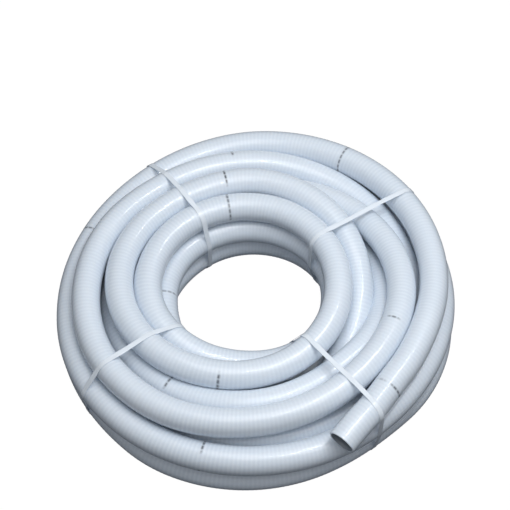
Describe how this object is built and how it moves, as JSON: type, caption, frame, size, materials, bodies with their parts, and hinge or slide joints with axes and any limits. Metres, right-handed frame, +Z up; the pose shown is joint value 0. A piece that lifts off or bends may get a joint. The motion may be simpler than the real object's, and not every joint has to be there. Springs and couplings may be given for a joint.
{
  "type": "pool vacuum hose",
  "caption": "Ribbed flexible suction hose wound into a flat layered coil round an open eye, tied with straps, with a plain cut free end lying over its edge.",
  "frame": {"origin": "the coil's axis at the floor, the bottom centre of the part's box", "axes": "+Z up along the coil's axis, -Y the front as first seen, +X to its right"},
  "size_m": [0.7, 0.6998, 0.1568],
  "materials": {
    "hose_pvc": "glossy",
    "spiral_pvc": "glossy",
    "strap_film": "satin"
  },
  "bodies": {
    "coil": {"hose_coil": "hose_pvc", "strap_rear_right": "strap_film", "strap_rear_left": "strap_film", "strap_front_left": "strap_film", "strap_front_right": "strap_film"},
    "free_end": {"free_end_wall": "hose_pvc", "free_end_spiral": "spiral_pvc"}
  },
  "joints": [
    {"name": "free_end_lift", "type": "hinge", "parent": "coil", "child": "free_end", "pos_m": [0.19913, -0.25184, 0.15141], "axis": [-0.7887, 0.6147, 0], "range_deg": [0, 25]}
  ]
}
